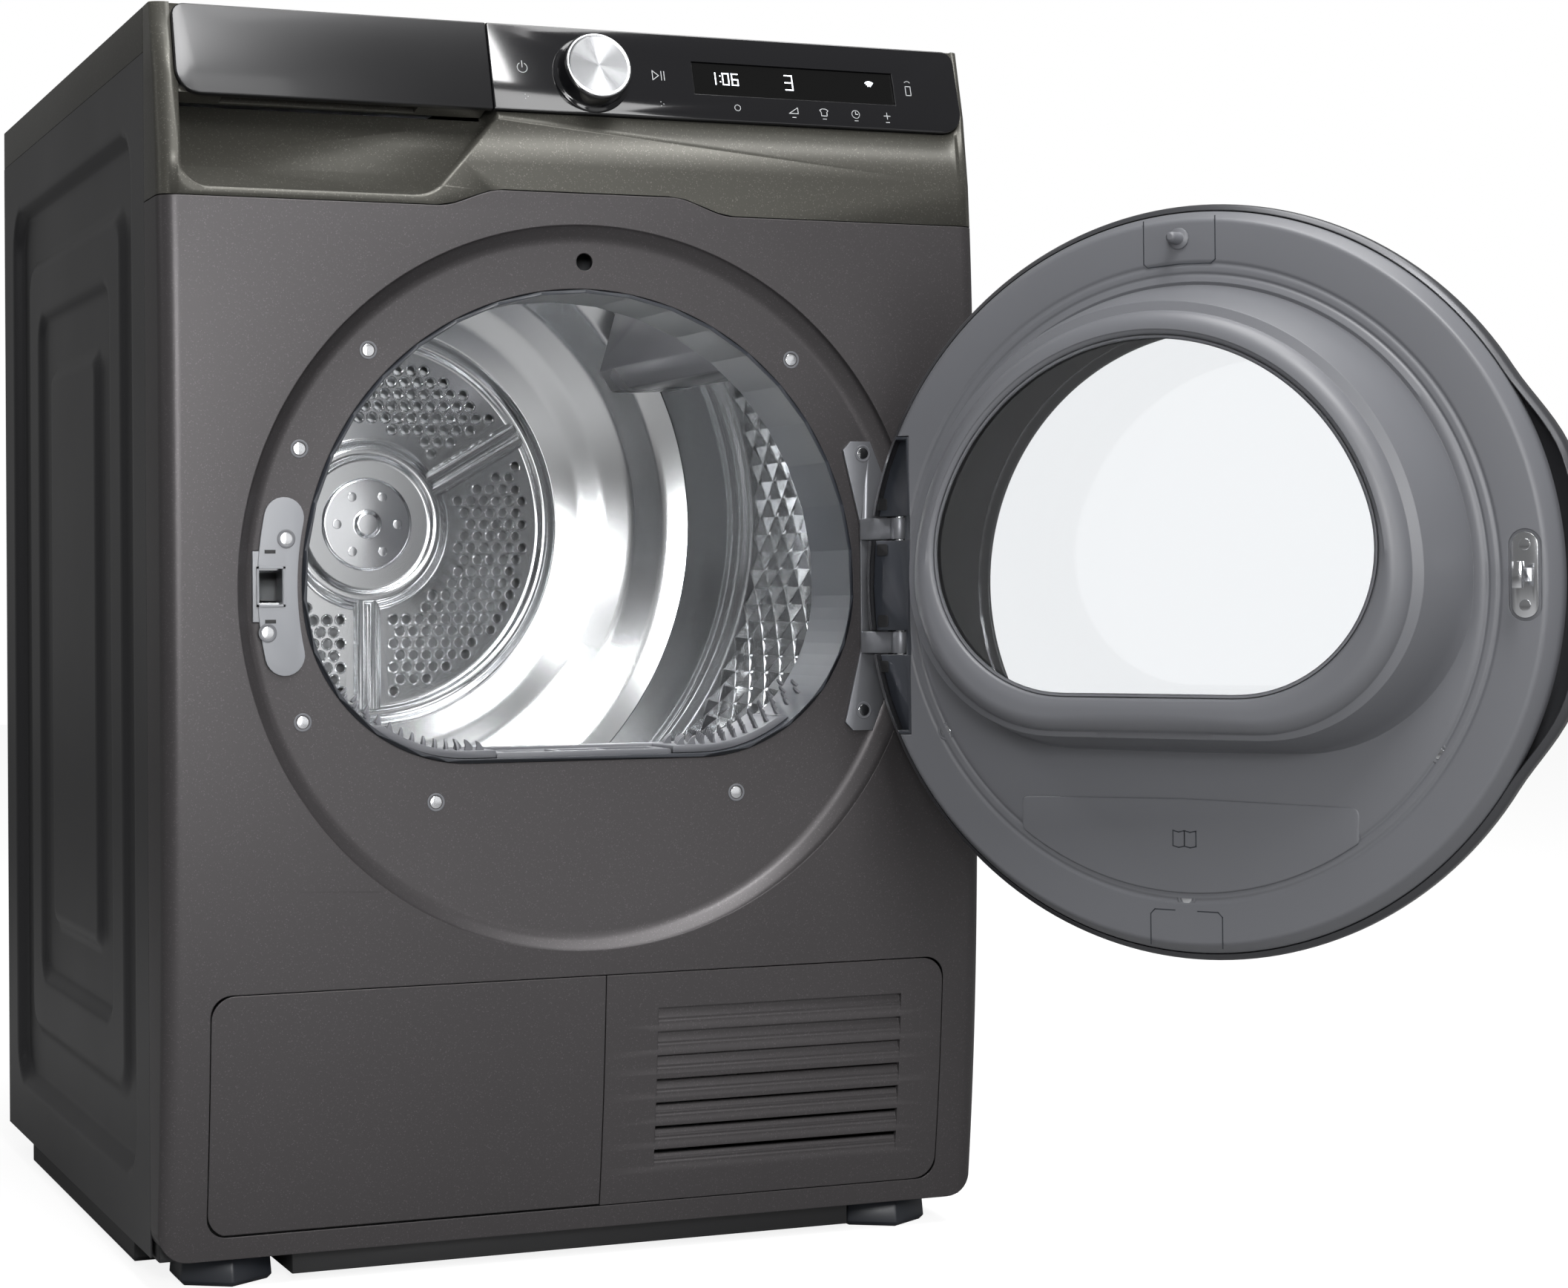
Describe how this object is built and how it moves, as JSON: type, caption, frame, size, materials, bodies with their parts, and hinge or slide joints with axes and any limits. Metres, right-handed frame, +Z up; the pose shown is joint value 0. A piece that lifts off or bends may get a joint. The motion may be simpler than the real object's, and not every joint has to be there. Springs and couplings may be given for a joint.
{
  "type": "clothes dryer",
  "caption": "Free-standing front-loading heat-pump clothes dryer with its round glazed door open, bowed front, steel drum, tank drawer, turning knob and service hatch.",
  "frame": {"origin": "middle of the cabinet's footprint at floor level; the base tray's flat underside lies 6 mm above it, on the feet", "axes": "+Z up, -Y out of the front where the door is, +X to the right seen from the front"},
  "size_m": [0.7931, 1.0241, 0.85],
  "materials": {
    "paint_lower": "satin metallic lacquer, warm dark grey",
    "paint_upper": "satin lacquer with fine glitter, green-grey",
    "paint_side": "satin enamel, near black",
    "gloss_black": "high gloss",
    "display": "polished",
    "grey_plastic": "fine satin grain",
    "pale_plastic": "fine satin grain",
    "dark_plastic": "fine satin grain",
    "black_plastic": "matt",
    "white_plastic": "satin",
    "stainless": "polished and brushed",
    "bright_metal": "spun and plated",
    "cast_metal": "painted silver-grey",
    "galvanised": "zinc coated",
    "copper_fins": "bare",
    "rubber": "matt",
    "clear_glass": "clear, polished"
  },
  "bodies": {
    "cabinet": {"base_tray": "black_plastic", "left_side_panel": "paint_side", "right_side_panel": "paint_side", "rear_panel": "galvanised", "mains_inlet": "black_plastic", "top_cover": "paint_upper", "front_panel": "paint_lower", "vent_panel": "paint_lower", "heat_exchanger_cover": "grey_plastic", "evaporator_coil": "galvanised", "condenser_coil": "copper_fins", "compressor": "black_plastic", "condensate_pump": "white_plastic", "drive_motor": "cast_metal", "drive_belt": "rubber", "front_bulkhead": "galvanised", "opening_collar": "dark_plastic", "filter_grille": "grey_plastic", "rear_bulkhead": "galvanised", "latch_receiver": "pale_plastic", "hinge_bracket": "cast_metal", "fascia": "paint_upper", "control_panel": "gloss_black", "display_window": "display", "control_board": "white_plastic", "drawer_bay": "white_plastic"},
    "drum": {"drum_shell": "stainless", "drum_back": "stainless", "drum_hub": "cast_metal", "drum_lifter_1": "stainless", "drum_lifter_2": "stainless", "drum_lifter_3": "stainless"},
    "rotor": {"motor_rotor": "cast_metal", "blower_wheel": "white_plastic"},
    "idler": {"idler_pulley": "white_plastic"},
    "roller_left": {"drum_roller_left": "dark_plastic"},
    "roller_right": {"drum_roller_right": "dark_plastic"},
    "door": {"door_outer_shell": "dark_plastic", "door_outer_pane": "clear_glass", "door_inner_frame": "grey_plastic", "door_window": "clear_glass", "door_hinge_block": "dark_plastic", "door_hinge_pin": "bright_metal", "door_striker": "bright_metal", "door_locating_pin": "grey_plastic"},
    "knob": {"programme_knob": "bright_metal"},
    "drawer": {"drawer_front": "gloss_black", "drawer_grip": "paint_upper", "water_tank": "white_plastic"},
    "filter": {"lint_filter": "grey_plastic"},
    "hatch": {"service_door": "paint_lower"},
    "lock_left": {"exchanger_lock_left": "pale_plastic"},
    "lock_right": {"exchanger_lock_right": "pale_plastic"},
    "latch_upper": {"latch_roller_upper": "bright_metal"},
    "latch_lower": {"latch_roller_lower": "bright_metal"},
    "foot_fl": {"foot_front_left": "dark_plastic"},
    "foot_fr": {"foot_front_right": "dark_plastic"},
    "foot_rl": {"foot_rear_left": "dark_plastic"},
    "foot_rr": {"foot_rear_right": "dark_plastic"}
  },
  "joints": [
    {"name": "drum_spin", "type": "hinge", "parent": "cabinet", "child": "drum", "pos_m": [0, 0, 0.5205], "axis": [0, 1, 0], "continuous": true},
    {"name": "rotor_spin", "type": "hinge", "parent": "cabinet", "child": "rotor", "pos_m": [0.15, 0, 0.14], "axis": [0, 1, 0], "continuous": true},
    {"name": "idler_spin", "type": "hinge", "parent": "cabinet", "child": "idler", "pos_m": [0.06135, 0, 0.15617], "axis": [0, 1, 0], "continuous": true},
    {"name": "roller_left_spin", "type": "hinge", "parent": "cabinet", "child": "roller_left", "pos_m": [-0.17437, 0, 0.27148], "axis": [0, 1, 0], "continuous": true},
    {"name": "roller_right_spin", "type": "hinge", "parent": "cabinet", "child": "roller_right", "pos_m": [0.17437, 0, 0.27148], "axis": [0, 1, 0], "continuous": true},
    {"name": "door_swing", "type": "hinge", "parent": "cabinet", "child": "door", "pos_m": [0.2248, -0.316, 0], "axis": [0, 0, 1], "range_deg": [-123.2, 20]},
    {"name": "knob_turn", "type": "hinge", "parent": "cabinet", "child": "knob", "pos_m": [0.0075, -0.28263, 0.815], "axis": [0, -0.9627, 0.2706], "continuous": true},
    {"name": "drawer_pull", "type": "slide", "parent": "cabinet", "child": "drawer", "axis": [0, -1, 0], "range_m": [0, 0.3]},
    {"name": "filter_lift", "type": "slide", "parent": "cabinet", "child": "filter", "axis": [0, 0, 1], "range_m": [0, 0.15]},
    {"name": "hatch_drop", "type": "hinge", "parent": "cabinet", "child": "hatch", "pos_m": [0, -0.27678, 0.0402], "axis": [1, 0, 0], "range_deg": [0, 90]},
    {"name": "lock_left_turn", "type": "hinge", "parent": "cabinet", "child": "lock_left", "pos_m": [-0.239, 0, 0.1175], "axis": [0, 1, 0], "range_deg": [0, 90]},
    {"name": "lock_right_turn", "type": "hinge", "parent": "cabinet", "child": "lock_right", "pos_m": [-0.02, 0, 0.1175], "axis": [0, 1, 0], "range_deg": [0, 90]},
    {"name": "latch_upper_give", "type": "slide", "parent": "cabinet", "child": "latch_upper", "axis": [0, 0, 1], "range_m": [0, 0.0025], "stiffness_N_per_m": 800},
    {"name": "latch_lower_give", "type": "slide", "parent": "cabinet", "child": "latch_lower", "axis": [0, 0, -1], "range_m": [0, 0.0025], "stiffness_N_per_m": 800},
    {"name": "foot_fl_screw", "type": "slide", "parent": "cabinet", "child": "foot_fl", "axis": [0, 0, -1], "range_m": [0, 0.012]},
    {"name": "foot_fr_screw", "type": "slide", "parent": "cabinet", "child": "foot_fr", "axis": [0, 0, -1], "range_m": [0, 0.012]},
    {"name": "foot_rl_screw", "type": "slide", "parent": "cabinet", "child": "foot_rl", "axis": [0, 0, -1], "range_m": [0, 0.012]},
    {"name": "foot_rr_screw", "type": "slide", "parent": "cabinet", "child": "foot_rr", "axis": [0, 0, -1], "range_m": [0, 0.012]}
  ],
  "couplings": [
    {"joint": "rotor_spin", "follows": "drum_spin", "ratio": 27.85},
    {"joint": "idler_spin", "follows": "drum_spin", "ratio": -19.893},
    {"joint": "roller_left_spin", "follows": "drum_spin", "ratio": -11.14},
    {"joint": "roller_right_spin", "follows": "drum_spin", "ratio": -11.14}
  ]
}
